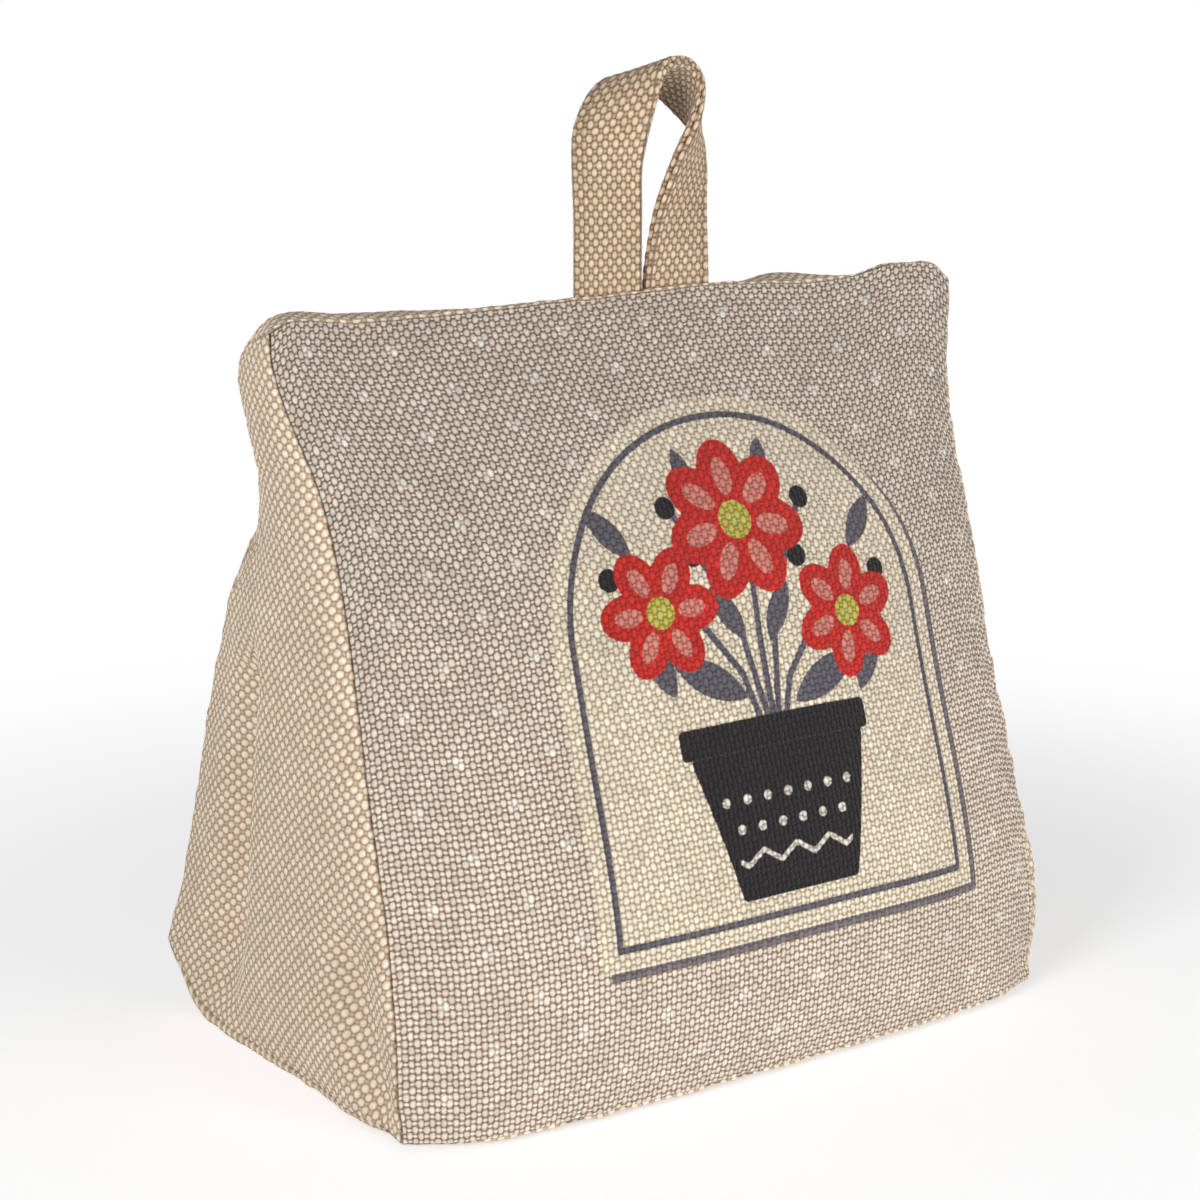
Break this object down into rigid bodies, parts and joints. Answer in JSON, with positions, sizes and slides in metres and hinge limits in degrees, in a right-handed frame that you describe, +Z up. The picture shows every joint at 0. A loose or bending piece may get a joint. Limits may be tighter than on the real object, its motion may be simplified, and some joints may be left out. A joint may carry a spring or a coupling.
{
  "type": "weighted fabric door stop",
  "caption": "Stuffed wedge-shaped fabric door stop with a greige woven front panel, cream side, back and base panels, and a strap loop sewn into its ridge seam.",
  "frame": {"origin": "on the floor, under the middle of the base, where the bag rests", "axes": "X to the right as seen from the printed front, Y from the front panel towards the back panel, Z up"},
  "size_m": [0.1664, 0.103, 0.1967],
  "materials": {
    "greige_weave": "coarse plain weave, printed with small pale dots and a motif",
    "cream_weave": "coarse plain weave, undyed cream",
    "cream_strap": "coarse plain weave strap, folded double",
    "inner_sack": "plain inner sack full of sand, hidden inside",
    "fibre": "loose white fibre, hidden inside"
  },
  "bodies": {
    "root": {"front_panel": "greige_weave", "back_panel": "cream_weave", "base_panel": "cream_weave", "left_side_panel": "cream_weave", "right_side_panel": "cream_weave", "lifting_loop": "cream_strap", "sand_bag": "inner_sack", "fibre_stuffing": "fibre"}
  },
  "joints": []
}
